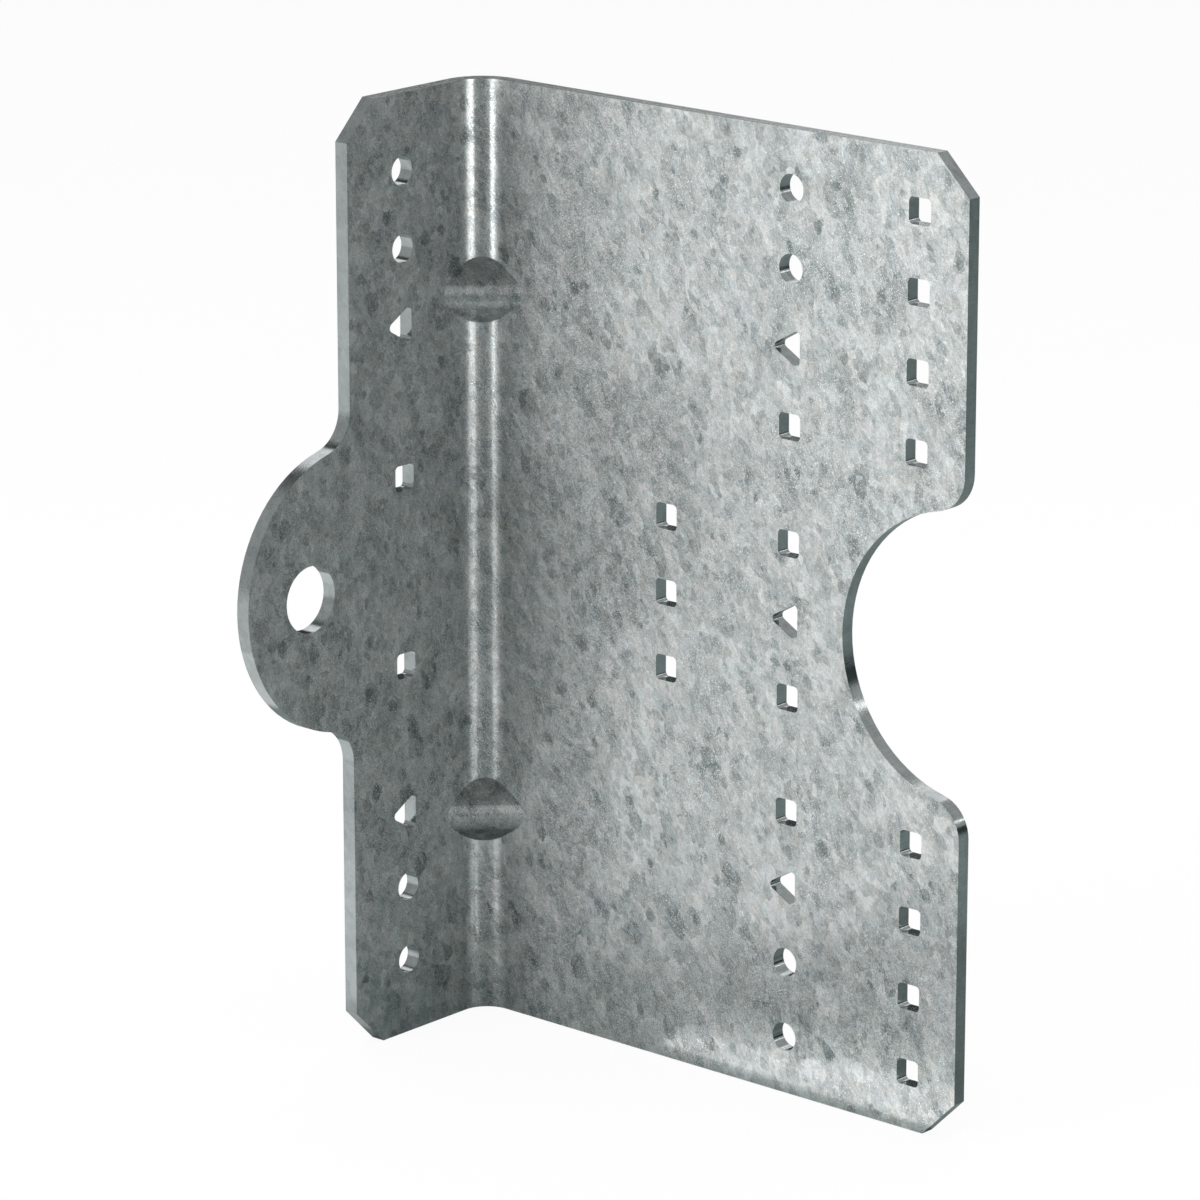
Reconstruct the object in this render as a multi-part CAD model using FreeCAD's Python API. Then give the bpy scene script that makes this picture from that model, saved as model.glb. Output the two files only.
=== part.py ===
import FreeCAD, Part
import math
import os
from FreeCAD import Vector

# Steel stud clip: one blank of galvanised sheet, punched, pressed and folded once at a right angle.
# The bend stands upright along Z. The wide leg runs along +X and lies against the stud. The narrow
# leg runs along -Y and is anchored through its round tab. The origin is the centre of the anchor
# hole on the narrow leg's outer face. All lengths are in millimetres, angles in degrees.

# Sheet and overall size
sheetThickness = 2.5
clipHeight = 158.75
wideLegWidth = 102.9
narrowLegWidth = 33.85
bendInnerRadius = 4.76
cornerCut = 6.35

# The tab on one leg is what the notch leaves out of the other, so both share one outline.
tabRadius = 23.81
tabBlendRadius = 6.35
anchorHoleRadius = 5.55
anchorHoleOffset = 9.525

# Punched holes
rowPitch = 12.7
columnPitch = 25.4
wideEdgeDistance = 9.525
narrowEdgeDistance = 12.7
narrowCentreRow = 15.875
roundHoleRadius = 2.38
squareHoleSide = 4.3
squareHoleCorner = 0.75
triangleHoleSide = 6.75
triangleHoleCorner = 0.76

# Gusset darts pressed into the bend
dartEndDistance = 34.925
dartHeight = 4.25
dartFlankAngle = 48.0
dartNoseRadius = 1.3

# What each row of a column is punched with, from the end of the leg inward
wideEndRows = ["round", "round", "triangle", "square"]
narrowEndRows = ["round", "round", "triangle"]

bendOuterRadius = bendInnerRadius + sheetThickness
halfHeight = clipHeight / 2
heelY = narrowLegWidth + anchorHoleOffset
blendReach = math.sqrt((tabRadius + tabBlendRadius) ** 2 - tabBlendRadius ** 2)
diagonal = Vector(1, -1, 0).normalize()
alongCrest = Vector(1, 1, 0).normalize()


# Places on the two legs: reach is the distance from the heel line, height is along the bend.
def widePoint(reach, height):
    return Vector(reach, heelY, height)


def narrowPoint(reach, height):
    return Vector(0, heelY - reach, height)


wideLeg = {"place": widePoint, "inward": Vector(0, -1, 0), "triangleAngle": 180}
narrowLeg = {"place": narrowPoint, "inward": Vector(1, 0, 0), "triangleAngle": 0}


# Flat shapes on a leg, given as a closed list of stretches: two points are a line and three an arc.
def legFace(leg, stretches):
    edges = []
    for stretch in stretches:
        points = [leg["place"](*point) for point in stretch]
        if len(points) == 2:
            edges.append(Part.makeLine(*points))
        else:
            edges.append(Part.Arc(*points).toShape())
    return Part.Face(Part.Wire(edges))


def onCircle(centre, radius, angle):
    turn = math.radians(angle)
    return (centre[0] + radius * math.cos(turn), centre[1] + radius * math.sin(turn))


def arcStretch(centre, radius, start, end):
    return [onCircle(centre, radius, angle) for angle in (start, (start + end) / 2, end)]


# The free edge of a leg from its upper corner to its lower one, with the tab bulging out of it
# (side 1) or the notch cut into it (side -1).
def freeEdge(width, side):
    swing = math.degrees(math.atan2(blendReach, tabBlendRadius))
    blendX = width + side * tabBlendRadius
    if side > 0:
        upper = arcStretch((blendX, blendReach), tabBlendRadius, 180, 180 + swing)
        bulge = arcStretch((width, 0), tabRadius, swing, -swing)
        lower = arcStretch((blendX, -blendReach), tabBlendRadius, 180 - swing, 180)
    else:
        upper = arcStretch((blendX, blendReach), tabBlendRadius, 0, -swing)
        bulge = arcStretch((width, 0), tabRadius, 180 - swing, 180 + swing)
        lower = arcStretch((blendX, -blendReach), tabBlendRadius, swing, 0)
    cutHeight = halfHeight - cornerCut
    return [
        [(width - cornerCut, halfHeight), (width, cutHeight)],
        [(width, cutHeight), (width, blendReach)],
        upper,
        bulge,
        lower,
        [(width, -blendReach), (width, -cutHeight)],
        [(width, -cutHeight), (width - cornerCut, -halfHeight)],
    ]


def legPlate(leg, width, side):
    upperStart = (bendOuterRadius, halfHeight)
    lowerStart = (bendOuterRadius, -halfHeight)
    outline = [[upperStart, (width - cornerCut, halfHeight)]]
    outline += freeEdge(width, side)
    outline += [[(width - cornerCut, -halfHeight), lowerStart], [lowerStart, upperStart]]
    return legFace(leg, outline).extrude(leg["inward"] * sheetThickness)


# The quarter turn between the legs
def bend():
    centre = Vector(bendOuterRadius, heelY - bendOuterRadius, -halfHeight)
    outer = Part.makeCylinder(bendOuterRadius, clipHeight, centre)
    inner = Part.makeCylinder(bendInnerRadius, clipHeight, centre)
    quarter = Part.makeBox(bendOuterRadius, bendOuterRadius, clipHeight, Vector(0, centre.y, centre.z))
    return outer.cut(inner).common(quarter)


# The whole wedge of the angle from its outer faces inward, rounded at the heel. It trims the darts.
def angleWedge(reach):
    wedge = Part.makeBox(reach, reach, clipHeight, Vector(0, heelY - reach, -halfHeight))
    heel = [e for e in wedge.Edges if abs(e.CenterOfMass.x) + abs(e.CenterOfMass.y - heelY) < 1e-6]
    return wedge.makeFillet(bendOuterRadius, heel)


# A prism along the crest of a dart: flanks at a fixed angle, a round crest, and a flat back that
# lies well outside the heel. Its section lies in the plane of the diagonal and Z.
def dartPrism(centreHeight, crestDistance, crestRadius, backDistance, halfLength):
    slope = math.radians(dartFlankAngle)
    tangentHeight = crestRadius * math.sin(slope)
    tangentDistance = crestDistance - crestRadius * (1 - math.cos(slope))
    backHeight = tangentHeight + (tangentDistance - backDistance) / math.tan(slope)

    def place(distance, height):
        return Vector(0, heelY, centreHeight + height) + diagonal * distance - alongCrest * halfLength

    upper = place(tangentDistance, tangentHeight)
    lower = place(tangentDistance, -tangentHeight)
    backUpper = place(backDistance, backHeight)
    backLower = place(backDistance, -backHeight)
    crest = Part.Arc(upper, place(crestDistance, 0), lower).toShape()
    sides = [Part.makeLine(lower, backLower), Part.makeLine(backLower, backUpper), Part.makeLine(backUpper, upper)]
    section = Part.Face(Part.Wire([crest] + sides))
    return section.extrude(alongCrest * 2 * halfLength)


# Each dart is the sheet pushed inward by a blunt wedge: a rib on the inside of the angle and the
# same form, one sheet thickness behind it, as a hollow in the heel.
def dartForms(centreHeight):
    bendCrest = bendOuterRadius * math.sqrt(2) - bendInnerRadius
    crestDistance = bendCrest + dartHeight
    reach = crestDistance * math.sqrt(2)
    ribRadius = dartNoseRadius + sheetThickness
    rib = dartPrism(centreHeight, crestDistance, ribRadius, 0, reach)
    hollowCrest = crestDistance - sheetThickness
    hollow = dartPrism(centreHeight, hollowCrest, dartNoseRadius, -sheetThickness, reach)
    return rib.common(angleWedge(reach)), hollow


# A round punch through a leg
def roundPunch(leg, centre, radius):
    return Part.makeCylinder(radius, sheetThickness, leg["place"](*centre), leg["inward"])


# A punch of a regular polygon with rounded corners. The first corner points at firstAngle.
def polygonPunch(leg, centre, corners, side, cornerRadius, firstAngle):
    turn = 360 / corners
    outerRadius = side / 2 / math.sin(math.pi / corners)
    cornerCentreRadius = outerRadius - cornerRadius / math.cos(math.pi / corners)
    arcs = []
    for index in range(corners):
        angle = firstAngle + index * turn
        cornerCentre = onCircle(centre, cornerCentreRadius, angle)
        arcs.append(arcStretch(cornerCentre, cornerRadius, angle - turn / 2, angle + turn / 2))
    stretches = []
    for index, arc in enumerate(arcs):
        following = arcs[(index + 1) % corners]
        stretches += [arc, [arc[2], following[0]]]
    return legFace(leg, stretches).extrude(leg["inward"] * sheetThickness)


# The triangles point the same way in the flat blank: at the bend on the wide leg, away from it on
# the narrow leg.
def punch(leg, kind, centre):
    if kind == "round":
        return roundPunch(leg, centre, roundHoleRadius)
    if kind == "square":
        return polygonPunch(leg, centre, 4, squareHoleSide, squareHoleCorner, 45)
    return polygonPunch(leg, centre, 3, triangleHoleSide, triangleHoleCorner, leg["triangleAngle"])


# Rows from an end of the leg inward, as far as the room above a given height allows
def endRowHeights(endDistance, lowest):
    rows = int((halfHeight - endDistance - lowest) / rowPitch + 1e-6) + 1
    return [halfHeight - endDistance - index * rowPitch for index in range(max(rows, 0))]


def mirroredRows(kinds, heights):
    rows = []
    for kind, height in zip(kinds, heights):
        rows += [(kind, height), (kind, -height)]
    return rows


def columnPunches(leg, reach, rows):
    return [punch(leg, kind, (reach, height)) for kind, height in rows]


# Three columns: squares down the outer one, mixed holes down the middle one in groups at both ends
# and at mid-height, and three squares in the inner one.
def wideLegPunches():
    outerColumn = wideLegWidth - wideEdgeDistance
    middleColumn = outerColumn - columnPitch
    innerColumn = middleColumn - columnPitch
    outerHeights = endRowHeights(wideEdgeDistance, blendReach)
    middleHeights = endRowHeights(wideEdgeDistance, 2 * rowPitch)
    centrePair = mirroredRows(["square"], [rowPitch])
    punches = columnPunches(wideLeg, outerColumn, mirroredRows(["square"] * len(outerHeights), outerHeights))
    punches += columnPunches(wideLeg, middleColumn, mirroredRows(wideEndRows, middleHeights))
    punches += columnPunches(wideLeg, middleColumn, centrePair + [("triangle", 0)])
    punches += columnPunches(wideLeg, innerColumn, centrePair + [("square", 0)])
    return punches


# One column in the leg, and the anchor hole in its tab
def narrowLegPunches():
    column = narrowLegWidth - narrowEdgeDistance
    heights = endRowHeights(narrowEdgeDistance, narrowCentreRow + rowPitch)
    rows = mirroredRows(narrowEndRows, heights) + mirroredRows(["square"], [narrowCentreRow])
    anchorHole = roundPunch(narrowLeg, (narrowLegWidth + anchorHoleOffset, 0), anchorHoleRadius)
    return columnPunches(narrowLeg, column, rows) + [anchorHole]


def studClip():
    widePlate = legPlate(wideLeg, wideLegWidth, -1)
    narrowPlate = legPlate(narrowLeg, narrowLegWidth, 1)
    clip = bend().fuse([widePlate, narrowPlate])
    dartCentre = halfHeight - dartEndDistance
    for centreHeight in (dartCentre, -dartCentre):
        rib, hollow = dartForms(centreHeight)
        clip = clip.fuse(rib).cut(hollow)
    clip = clip.cut(wideLegPunches() + narrowLegPunches())
    return clip.removeSplitter().Solids[0]


os.makedirs("parts", exist_ok=True)
clip = studClip()
clip.exportStep("parts/stud_clip.step")
print("stud_clip", clip.isValid(), "volume", round(clip.Volume, 1), "box", clip.BoundBox)
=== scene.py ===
import bpy
from math import cos, pi, radians, sin
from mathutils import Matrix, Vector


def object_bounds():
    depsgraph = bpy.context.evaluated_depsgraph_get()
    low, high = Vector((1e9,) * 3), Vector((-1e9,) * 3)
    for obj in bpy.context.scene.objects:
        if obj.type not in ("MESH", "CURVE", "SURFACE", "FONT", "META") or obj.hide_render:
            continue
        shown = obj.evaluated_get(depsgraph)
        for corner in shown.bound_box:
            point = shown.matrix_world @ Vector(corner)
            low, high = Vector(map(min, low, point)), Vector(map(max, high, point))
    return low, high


# The steel stud clip in a small studio. Everything is in metres, in the frame of the model.
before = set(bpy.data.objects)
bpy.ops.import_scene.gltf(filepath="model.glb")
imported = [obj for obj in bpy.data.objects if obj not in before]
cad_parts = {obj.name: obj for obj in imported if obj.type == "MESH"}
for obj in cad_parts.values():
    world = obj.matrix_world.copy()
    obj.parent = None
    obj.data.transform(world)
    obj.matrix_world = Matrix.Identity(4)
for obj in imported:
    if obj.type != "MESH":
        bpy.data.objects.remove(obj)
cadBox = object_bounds()
floorHeight = cadBox[0].z
clipMiddle = (cadBox[0] + cadBox[1]) / 2
clip = bpy.data.objects["stud_clip"]
print("clip loaded")


# An sRGB hex colour as the linear values that sockets take
def linearColour(hexColour):
    parts = [int(hexColour[place:place + 2], 16) / 255 for place in (1, 3, 5)]
    return [part / 12.92 if part <= 0.04045 else ((part + 0.055) / 1.055) ** 2.4 for part in parts] + [1]


# Adds a node. Settings are its own values. Inputs are values to set, or sockets or nodes to link
# from, and a node stands for its first output.
def addNode(tree, kind, settings={}, inputs={}):
    node = tree.nodes.new("ShaderNode" + kind)
    for name, value in settings.items():
        setattr(node, name, value)
    for name, value in inputs.items():
        if isinstance(value, bpy.types.Node):
            value = value.outputs[0]
        if isinstance(value, bpy.types.NodeSocket):
            tree.links.new(value, node.inputs[name])
        else:
            node.inputs[name].default_value = value
    return node


def newMaterial(name):
    material = bpy.data.materials.new(name)
    material.use_nodes = True
    material.node_tree.nodes.clear()
    return material, material.node_tree


# Hot-dip galvanised steel, cold formed. The zinc froze in small leaning grains, the spangle: most
# are near one grey, and some are darker, with a clean outline. A dull frost scatters the light,
# and fine specks of bare zinc between it still mirror it, so a soft grey face carries bright lines
# where it bends. Sizes are in millimetres: across, across and along the grain.
steelLook = {
    "pale": "#E3E5E5",
    "dark": "#7B8383",
    "warm": "#FDFBF8",
    "cool": "#F8FBFC",
    # painted highlight: the near-white base colour of the painted glints on the flecks
    "painted_glint": "#FAFBFB",
    "lean": (14, -28, 0),
    "size": {
        "large": (5.0, 5.0, 7.5),
        "middle": (2.4, 2.4, 3.7),
        "small": (1.2, 1.2, 1.7),
        "cloud": (11.0, 11.0, 15.0),
        "streak": (0.36, 0.36, 0.9),
        "fleck": (0.16, 0.16, 0.2),
        "curl": (1.1, 1.1, 1.6),
    },
    "ground": -0.2,         # how dark the sheet is before its grains, clouds and streaks
    "grain": {
        "large": {"waver": 0.35, "smallest": -0.3, "largest": 0.46, "shade": 0.34, "tone": 0.14},
        "middle": {"waver": 0.6, "smallest": -0.2, "largest": 0.48, "shade": 0.34, "tone": 0.26},
        "small": {"waver": 0.9, "smallest": -0.3, "largest": 0.46, "shade": 0.18, "tone": 0.36},
    },
    "grainWave": 1.6,       # waves of an outline to a middle grain
    "grainEdge": 0.06,      # how soft an outline is
    "faintest": 0.25,       # the faintest dark grain, as a share of the darkest
    "cloud": {"from": 0.35, "to": 0.65, "shade": 0.18},
    "streak": {"from": 0.32, "to": 0.68, "shade": 0.34},
    "curl": {"width": 0.014, "twist": 0.8, "shade": -0.16},
    # where the flecks turn to the painted glint colour, a painted highlight
    "fleck": {"dull": 0.675, "bright": 0.575, "full": 0.68},
    "frostRoughness": 0.47,
    "slantRoughness": 0.16,
    "slant": (0.5, 0.85),   # from where frost starts to look glossy to where it is glossiest
    "speckRoughness": 0.14,
    "speckShare": 0.27,
    "speckSize": 0.05,
    "relief": 0.009,
}

# The sheared and punched faces are cut through the zinc and burnished by the tool. They are
# smoother than the sheet, with fine lines along the cut and a trace of the zinc's grain.
cutLook = {
    "colour": "#CCD0D0",
    "roughness": 0.1,
    "line": (0.12, 3.0, 0.12),
    "lineEdge": (0.35, 0.65),
    "lineShade": 0.2,
    "zincShade": 0.45,
    "level": 0.9,           # a face of the bend that points up more than this is its end
    "across": 0.3,          # a face that turns from its leg more than this is a cut
}
bendEdge = {"x": 0.00726, "y": 0.036115}    # where the legs meet the bend


# A size in millimetres on each axis, as a scale in metres
def inMetres(size):
    return [length / 1000 for length in size]


def galvanisedSteel(look, cut):
    material, tree = newMaterial("galvanised_steel")
    coordinates = addNode(tree, "TexCoord")
    place = coordinates.outputs["Object"]
    lean = [radians(angle) for angle in look["lean"]]
    space = {}
    for name, size in look["size"].items():
        space[name] = addNode(tree, "Mapping", {"vector_type": "TEXTURE"}, {
            "Vector": place, "Rotation": lean, "Scale": inMetres(size)})

    # Darker grains in three sizes. Each cell has a reach and a strength of its own, the outline
    # wavers, and most cells have no dark grain at all.
    shade = look["ground"]
    dark = 0
    waver = addNode(tree, "TexNoise", {}, {
        "Vector": space["middle"], "Scale": look["grainWave"], "Detail": 3})
    for name, grain in look["grain"].items():
        waved = addNode(tree, "VectorMath", {"operation": "MULTIPLY_ADD"}, {
            0: waver.outputs["Color"], 1: [grain["waver"]] * 3, 2: space[name]})
        cells = addNode(tree, "TexVoronoi", {}, {"Vector": waved, "Scale": 1})
        cell = addNode(tree, "SeparateColor", {}, {"Color": cells.outputs["Color"]})
        reach = addNode(tree, "MapRange", {}, {
            "Value": cell.outputs["Red"], "To Min": grain["smallest"], "To Max": grain["largest"]})
        depth = addNode(tree, "Math", {"operation": "SUBTRACT"}, {0: reach, 1: cells.outputs["Distance"]})
        inside = addNode(tree, "MapRange", {}, {"Value": depth, "From Max": look["grainEdge"]})
        strength = addNode(tree, "MapRange", {}, {
            "Value": cell.outputs["Green"],
            "To Min": look["faintest"] * grain["shade"], "To Max": grain["shade"]})
        grainShade = addNode(tree, "Math", {"operation": "MULTIPLY"}, {0: inside, 1: strength})
        dark = addNode(tree, "Math", {"operation": "MAXIMUM"}, {0: grainShade, 1: dark})
        # Every cell, dark grain or none, also has a slight tone of its own
        shade = addNode(tree, "Math", {"operation": "MULTIPLY_ADD"}, {
            0: cell.outputs["Blue"], 1: grain["tone"], 2: shade})
    shade = addNode(tree, "Math", {"operation": "ADD"}, {0: shade, 1: dark})
    smallCell = cell

    # Wide soft clouds and fine streaks along the grain
    clouds = addNode(tree, "TexNoise", {}, {"Vector": space["cloud"], "Scale": 1, "Detail": 2})
    cloud = addNode(tree, "MapRange", {}, {
        "Value": clouds, "From Min": look["cloud"]["from"], "From Max": look["cloud"]["to"]})
    shade = addNode(tree, "Math", {"operation": "MULTIPLY_ADD"}, {
        0: cloud, 1: look["cloud"]["shade"], 2: shade})
    streaks = addNode(tree, "TexNoise", {}, {
        "Vector": space["streak"], "Scale": 1, "Detail": 4, "Roughness": 0.6})
    streak = addNode(tree, "MapRange", {}, {
        "Value": streaks, "From Min": look["streak"]["from"], "From Max": look["streak"]["to"]})
    shade = addNode(tree, "Math", {"operation": "MULTIPLY_ADD"}, {
        0: streak, 1: look["streak"]["shade"], 2: shade})

    # Thin pale curls where the zinc flowed: the lines along which a noise crosses its middle
    curls = addNode(tree, "TexNoise", {}, {
        "Vector": space["curl"], "Scale": 1, "Detail": 3, "Distortion": look["curl"]["twist"]})
    ring = addNode(tree, "Math", {"operation": "SUBTRACT"}, {0: curls, 1: 0.5})
    ring = addNode(tree, "Math", {"operation": "ABSOLUTE"}, {0: ring})
    curl = addNode(tree, "MapRange", {}, {
        "Value": ring, "From Max": look["curl"]["width"], "To Min": 1, "To Max": 0})
    curl = addNode(tree, "Math", {"operation": "MULTIPLY"}, {0: curl, 1: cloud})
    shade = addNode(tree, "Math", {"operation": "MULTIPLY_ADD", "use_clamp": True}, {
        0: curl, 1: look["curl"]["shade"], 2: shade})

    # The grey of the shade, and a slight warm or cool tint on each small cell
    grey = addNode(tree, "Mix", {"data_type": "RGBA"}, {
        0: shade, 6: linearColour(look["pale"]), 7: linearColour(look["dark"])})
    tint = addNode(tree, "Mix", {"data_type": "RGBA"}, {
        0: smallCell.outputs["Green"], 6: linearColour(look["warm"]), 7: linearColour(look["cool"])})
    tinted = addNode(tree, "Mix", {"data_type": "RGBA", "blend_type": "MULTIPLY"}, {
        0: 1.0, 6: grey.outputs[2], 7: tint.outputs[2]})

    # Painted glints: fine flecks, dull and bright, in loose groups, painted in a near-white base colour
    # where bits of zinc would face the light
    flecks = addNode(tree, "TexNoise", {}, {"Vector": space["fleck"], "Scale": 1, "Detail": 2})
    start = addNode(tree, "MapRange", {}, {
        "Value": cloud, "To Min": look["fleck"]["dull"], "To Max": look["fleck"]["bright"]})
    painted_glint = addNode(tree, "MapRange", {}, {
        "Value": flecks, "From Min": start, "From Max": look["fleck"]["full"]})
    sheetColour = addNode(tree, "Mix", {"data_type": "RGBA"}, {
        0: painted_glint, 6: tinted.outputs[2], 7: linearColour(look["painted_glint"])})

    # Specks of bare zinc, too fine to be seen one by one, so only the shine shows
    speckSpace = addNode(tree, "VectorMath", {"operation": "SNAP"}, {
        0: place, 1: inMetres([look["speckSize"]] * 3)})
    specks = addNode(tree, "TexWhiteNoise", {}, {"Vector": speckSpace})
    bare = addNode(tree, "Math", {"operation": "LESS_THAN"}, {0: specks, 1: look["speckShare"]})

    # Seen along the sheet, frost looks glossy
    facing = addNode(tree, "LayerWeight", {}, {"Blend": 0.5})
    frost = addNode(tree, "MapRange", {}, {
        "Value": facing.outputs["Facing"], "From Min": look["slant"][0], "From Max": look["slant"][1],
        "To Min": look["frostRoughness"], "To Max": look["slantRoughness"]})
    sheetRoughness = addNode(tree, "Mix", {}, {0: bare, 2: frost, 3: look["speckRoughness"]})

    # Cut faces lie across the sheet: their normal has no part along the thickness of their leg,
    # and on the bend they are the two ends
    normal = addNode(tree, "SeparateXYZ", {}, {0: coordinates.outputs["Normal"]})
    point = addNode(tree, "SeparateXYZ", {}, {0: place})
    onWide = addNode(tree, "Math", {"operation": "GREATER_THAN"}, {0: point.outputs["X"], 1: bendEdge["x"]})
    onNarrow = addNode(tree, "Math", {"operation": "LESS_THAN"}, {0: point.outputs["Y"], 1: bendEdge["y"]})
    flatY = addNode(tree, "Math", {"operation": "ABSOLUTE"}, {0: normal.outputs["Y"]})
    flatX = addNode(tree, "Math", {"operation": "ABSOLUTE"}, {0: normal.outputs["X"]})
    wideFace = addNode(tree, "Math", {"operation": "MULTIPLY"}, {0: flatY, 1: onWide})
    narrowFace = addNode(tree, "Math", {"operation": "MULTIPLY"}, {0: flatX, 1: onNarrow})
    onLeg = addNode(tree, "Math", {"operation": "MAXIMUM"}, {0: onWide, 1: onNarrow})
    steep = addNode(tree, "Math", {"operation": "ABSOLUTE"}, {0: normal.outputs["Z"]})
    level = addNode(tree, "Math", {"operation": "LESS_THAN"}, {0: steep, 1: cut["level"]})
    bendFace = addNode(tree, "Math", {"operation": "SUBTRACT", "use_clamp": True}, {0: level, 1: onLeg})
    legFace = addNode(tree, "Math", {"operation": "MAXIMUM"}, {0: wideFace, 1: narrowFace})
    onSheet = addNode(tree, "Math", {"operation": "MAXIMUM"}, {0: legFace, 1: bendFace})
    onCut = addNode(tree, "Math", {"operation": "LESS_THAN"}, {0: onSheet, 1: cut["across"]})

    lineSpace = addNode(tree, "Mapping", {"vector_type": "TEXTURE"}, {
        "Vector": place, "Scale": inMetres(cut["line"])})
    lines = addNode(tree, "TexNoise", {}, {"Vector": lineSpace, "Scale": 1, "Detail": 2})
    line = addNode(tree, "MapRange", {}, {
        "Value": lines, "From Min": cut["lineEdge"][0], "From Max": cut["lineEdge"][1],
        "To Max": cut["lineShade"]})
    worn = addNode(tree, "Math", {"operation": "MULTIPLY_ADD", "use_clamp": True}, {
        0: shade, 1: cut["zincShade"], 2: line})
    cutColour = addNode(tree, "Mix", {"data_type": "RGBA"}, {
        0: worn, 6: linearColour(cut["colour"]), 7: linearColour(look["dark"])})

    colour = addNode(tree, "Mix", {"data_type": "RGBA"}, {
        0: onCut, 6: sheetColour.outputs[2], 7: cutColour.outputs[2]})
    roughness = addNode(tree, "Mix", {}, {0: onCut, 2: sheetRoughness, 3: cut["roughness"]})
    bump = addNode(tree, "Bump", {}, {"Strength": 1.0, "Distance": look["relief"] / 1000, "Height": flecks})
    shader = addNode(tree, "BsdfPrincipled", {}, {
        "Base Color": colour.outputs[2], "Metallic": 1.0, "Roughness": roughness, "Normal": bump})
    addNode(tree, "OutputMaterial", {}, {"Surface": shader})
    return material


steel = galvanisedSteel(steelLook, cutLook)
for slot in clip.material_slots:
    slot.material = steel
print("steel on the clip")

# A white paper floor. Its own white is added to what the lamps give it, for the camera and for
# what the metal mirrors, so it is white and still keeps the clip's shadow.
floorLook = {"size": 8.0, "colour": "#F2F2F2", "ownWhite": 0.93, "gap": 0.0002}


def floorPlane(look):
    bpy.ops.object.select_all(action="DESELECT")
    bpy.ops.mesh.primitive_plane_add(size=look["size"], location=(0, 0, floorHeight - look["gap"]))
    floor = bpy.context.object
    floor.name = "floor"
    material, tree = newMaterial("white_paper")
    ray = addNode(tree, "LightPath")
    seen = addNode(tree, "Math", {"operation": "MAXIMUM"}, {
        0: ray.outputs["Is Camera Ray"], 1: ray.outputs["Is Glossy Ray"]})
    seen = addNode(tree, "Math", {"operation": "MAXIMUM"}, {0: seen, 1: ray.outputs["Is Transmission Ray"]})
    share = addNode(tree, "Math", {"operation": "MULTIPLY"}, {0: seen, 1: look["ownWhite"]})
    paper = addNode(tree, "BsdfDiffuse", {}, {"Color": linearColour(look["colour"])})
    white = addNode(tree, "Emission", {}, {"Color": (1, 1, 1, 1), "Strength": 1})
    mixed = addNode(tree, "MixShader", {}, {0: share, 1: paper, 2: white})
    addNode(tree, "OutputMaterial", {}, {"Surface": mixed})
    floor.data.materials.append(material)


floorPlane(floorLook)
print("floor laid")

# Grey cards lie on the floor, and only the metal mirrors them, as a photographer darkens what
# shiny things show. Each is a piece of a ring round the clip, by azimuth from +X.
cardLook = {
    "card_middle": {"colour": "#888C8C", "from": -180, "to": -20, "near": 0.0001, "far": 0.045},
    "card_inside": {"colour": "#BCBEBE", "from": -180, "to": -20, "near": 0.045, "far": 0.07},
    "card_under": {"colour": "#929D9C", "from": -20, "to": 60, "near": 0.0001, "far": 0.07},
    "card_left": {"colour": "#DCDEDE", "from": -180, "to": -120, "near": 0.07, "far": 0.16},
    "card_far_left": {"colour": "#C8CACA", "from": -180, "to": -120, "near": 0.16, "far": 4},
    "card_front": {"colour": "#6E7776", "from": -120, "to": 60, "near": 0.07, "far": 0.16},
    "card_far_front": {"colour": "#535C5B", "from": -90, "to": -15, "near": 0.16, "far": 4},
    "card_right": {"colour": "#848F8E", "from": 15, "to": 60, "near": 0.16, "far": 4},
    "card_back": {"colour": "#858E8D", "from": 60, "to": 180, "near": 0.0001, "far": 4},
}

# Two glowing strips on the cards run out from the bend under the left and right boxes, and carry
# the bright bands down to the foot of the bend.
stripLook = {
    "strip_left": {"colour": "#FFFFFF", "bright": 1.0, "from": -97, "to": -81, "near": 0.045, "far": 0.2},
    "strip_right": {"colour": "#FFFFFF", "bright": 1.25, "from": -12, "to": 1, "near": 0.03, "far": 0.2},
}
cardSteps = 24
cardGap = 0.0001        # how far the cards and the strips on them lie below the foot of the clip
stripGap = 0.00005


# A card is a straight edge that is spun round a centre. With no window, the spin runs towards
# smaller azimuths, so it starts at the larger one.
def floorCards(look, centreX, centreY, gap):
    for name, card in look.items():
        reach = card["far"] - card["near"]
        bpy.ops.object.select_all(action="DESELECT")
        bpy.ops.mesh.primitive_plane_add(size=reach, location=(card["near"] + reach / 2, -reach / 2, 0))
        piece = bpy.context.object
        piece.name = piece.data.name = name
        bpy.ops.object.transform_apply()
        bpy.ops.object.mode_set(mode="EDIT")
        bpy.ops.mesh.select_all(action="DESELECT")
        bpy.ops.object.mode_set(mode="OBJECT")
        for corner in piece.data.vertices:
            corner.select = corner.co.y < -reach / 2
        bpy.ops.object.mode_set(mode="EDIT")
        bpy.ops.mesh.delete(type="VERT")
        bpy.ops.mesh.select_all(action="SELECT")
        bpy.ops.mesh.spin(steps=cardSteps, angle=radians(card["to"] - card["from"]),
                          center=(0, 0, 0), axis=(0, 0, 1))
        bpy.ops.object.mode_set(mode="OBJECT")
        piece.location = (centreX, centreY, floorHeight - gap)
        piece.rotation_euler.z = radians(card["to"])
        bpy.ops.object.transform_apply()

        material, tree = newMaterial(name)
        if "bright" in card:
            paper = addNode(tree, "Emission", {}, {
                "Color": linearColour(card["colour"]), "Strength": card["bright"]})
        else:
            paper = addNode(tree, "BsdfDiffuse", {}, {"Color": linearColour(card["colour"])})
        addNode(tree, "OutputMaterial", {}, {"Surface": paper})
        piece.data.materials.append(material)
        piece.visible_camera = False
        piece.visible_diffuse = False
        piece.visible_shadow = False


floorCards(cardLook, clipMiddle.x, clipMiddle.y, cardGap)
floorCards(stripLook, bendEdge["x"], bendEdge["y"], stripGap)
print("cards laid")

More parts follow.
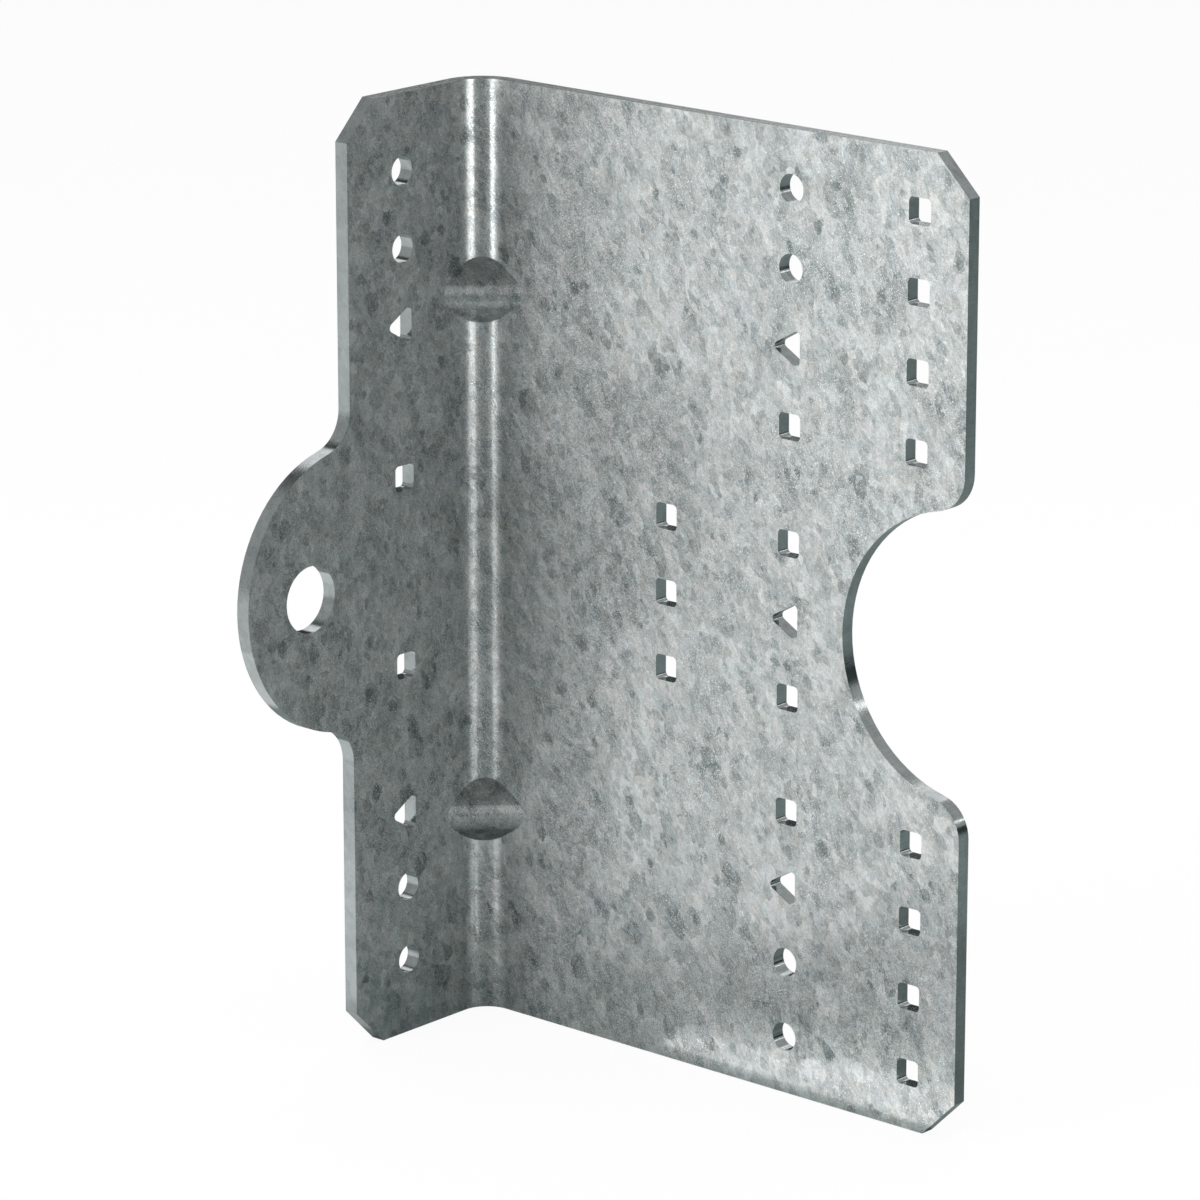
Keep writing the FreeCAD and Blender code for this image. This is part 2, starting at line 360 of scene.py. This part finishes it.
# Soft boxes stand round the clip, by azimuth from +X, and face it, and two hang over it. The near
# left and right boxes draw the two bright bands on the bend. The far left one gives the wide leg
# its light, and the far right one a little of the narrow leg's. The back box lights the top edges,
# and the thin strip behind draws a fine line in the holes. The walls are large and dim: the front
# one is what the darts' crests mirror, and the left one what the tab's rim mirrors. The top box
# lights the floor and the cards, and the metal mirrors the dim ceiling in its place. Bright is how
# bright each one looks, with white paper as 1.
lampLook = {
    "box_left": {
        "azimuth": -94, "distance": 0.5, "height": 0.085, "size": (0.17, 0.17), "bright": 4.0},
    "box_far_left": {
        "azimuth": -105, "distance": 1.5, "height": 0.5, "size": (0.6, 0.8), "bright": 8.9},
    "box_right": {
        "azimuth": -3.4, "distance": 0.5, "height": 0.15, "size": (0.15, 0.3), "bright": 3.4},
    "box_far_right": {
        "azimuth": 20, "distance": 1.5, "height": 0.35, "size": (0.5, 0.5), "bright": 0.6},
    "box_back": {
        "azimuth": 142, "distance": 0.5, "height": 0.41, "size": (1.4, 0.3), "bright": 1.0},
    "strip_back": {
        "azimuth": 47, "distance": 1.2, "height": 0.5, "size": (0.5, 0.05), "bright": 2.6},
    "wall_front": {
        "azimuth": -45, "distance": 1.2, "height": 0.5, "size": (1.4, 1.0), "bright": 0.38},
    "wall_back": {
        "azimuth": 75, "distance": 1.2, "height": 1.0, "size": (1.6, 1.4), "bright": 0.42},
    "wall_left": {
        "azimuth": -162, "distance": 1.2, "height": 0.7, "size": (1.6, 1.4), "bright": 0.38},
    "box_top": {
        "azimuth": 0, "distance": 0, "height": 1.4, "size": (1.6, 1.6), "bright": 2.3},
    "ceiling": {
        "azimuth": 0, "distance": 0, "height": 1.3, "size": (1.6, 1.6), "bright": 0.14},
}
unmirroredLamp = "box_top"


def softBoxes(look):
    for name, box in look.items():
        light = bpy.data.lights.new(name, "AREA")
        light.shape = "RECTANGLE"
        light.size, light.size_y = box["size"]
        light.energy = box["bright"] * pi * light.size * light.size_y
        lamp = bpy.data.objects.new(name, light)
        bpy.context.collection.objects.link(lamp)
        turn = radians(box["azimuth"])
        lamp.location = (clipMiddle.x + box["distance"] * cos(turn),
                         clipMiddle.y + box["distance"] * sin(turn), floorHeight + box["height"])
        if box["distance"]:     # a lamp straight above faces down as it comes
            lamp.rotation_euler = (radians(90), 0, turn + radians(90))
        lamp.visible_camera = False
        lamp.visible_glossy = name != unmirroredLamp


softBoxes(lampLook)

roomLook = {"colour": "#3C4443", "bright": 1.0}     # the dim room round the studio
world = bpy.data.worlds.new("dim_room")
bpy.context.scene.world = world
world.use_nodes = True
world.node_tree.nodes.clear()
air = addNode(world.node_tree, "Background", {}, {
    "Color": linearColour(roomLook["colour"]), "Strength": roomLook["bright"]})
addNode(world.node_tree, "OutputWorld", {}, {"Surface": air})
print("studio ready")

# The camera of the photograph, from the fit of its outline
cameraLook = {
    "location": (0.64755, -0.664277, 0.261135),
    "turn": (74.2298, 0, 41.2857),
    "lens": 179.6,
    "sensor": 36,
    "nearest": 0.01,
}
cameraTurn = [radians(angle) for angle in cameraLook["turn"]]
bpy.ops.object.select_all(action="DESELECT")
bpy.ops.object.camera_add(location=cameraLook["location"], rotation=cameraTurn)
camera = bpy.context.object
camera.name = "camera"
camera.data.lens = cameraLook["lens"]
camera.data.sensor_width = cameraLook["sensor"]
camera.data.clip_start = cameraLook["nearest"]
bpy.context.scene.camera = camera
bpy.context.scene.view_settings.view_transform = "Standard"
print("camera set")
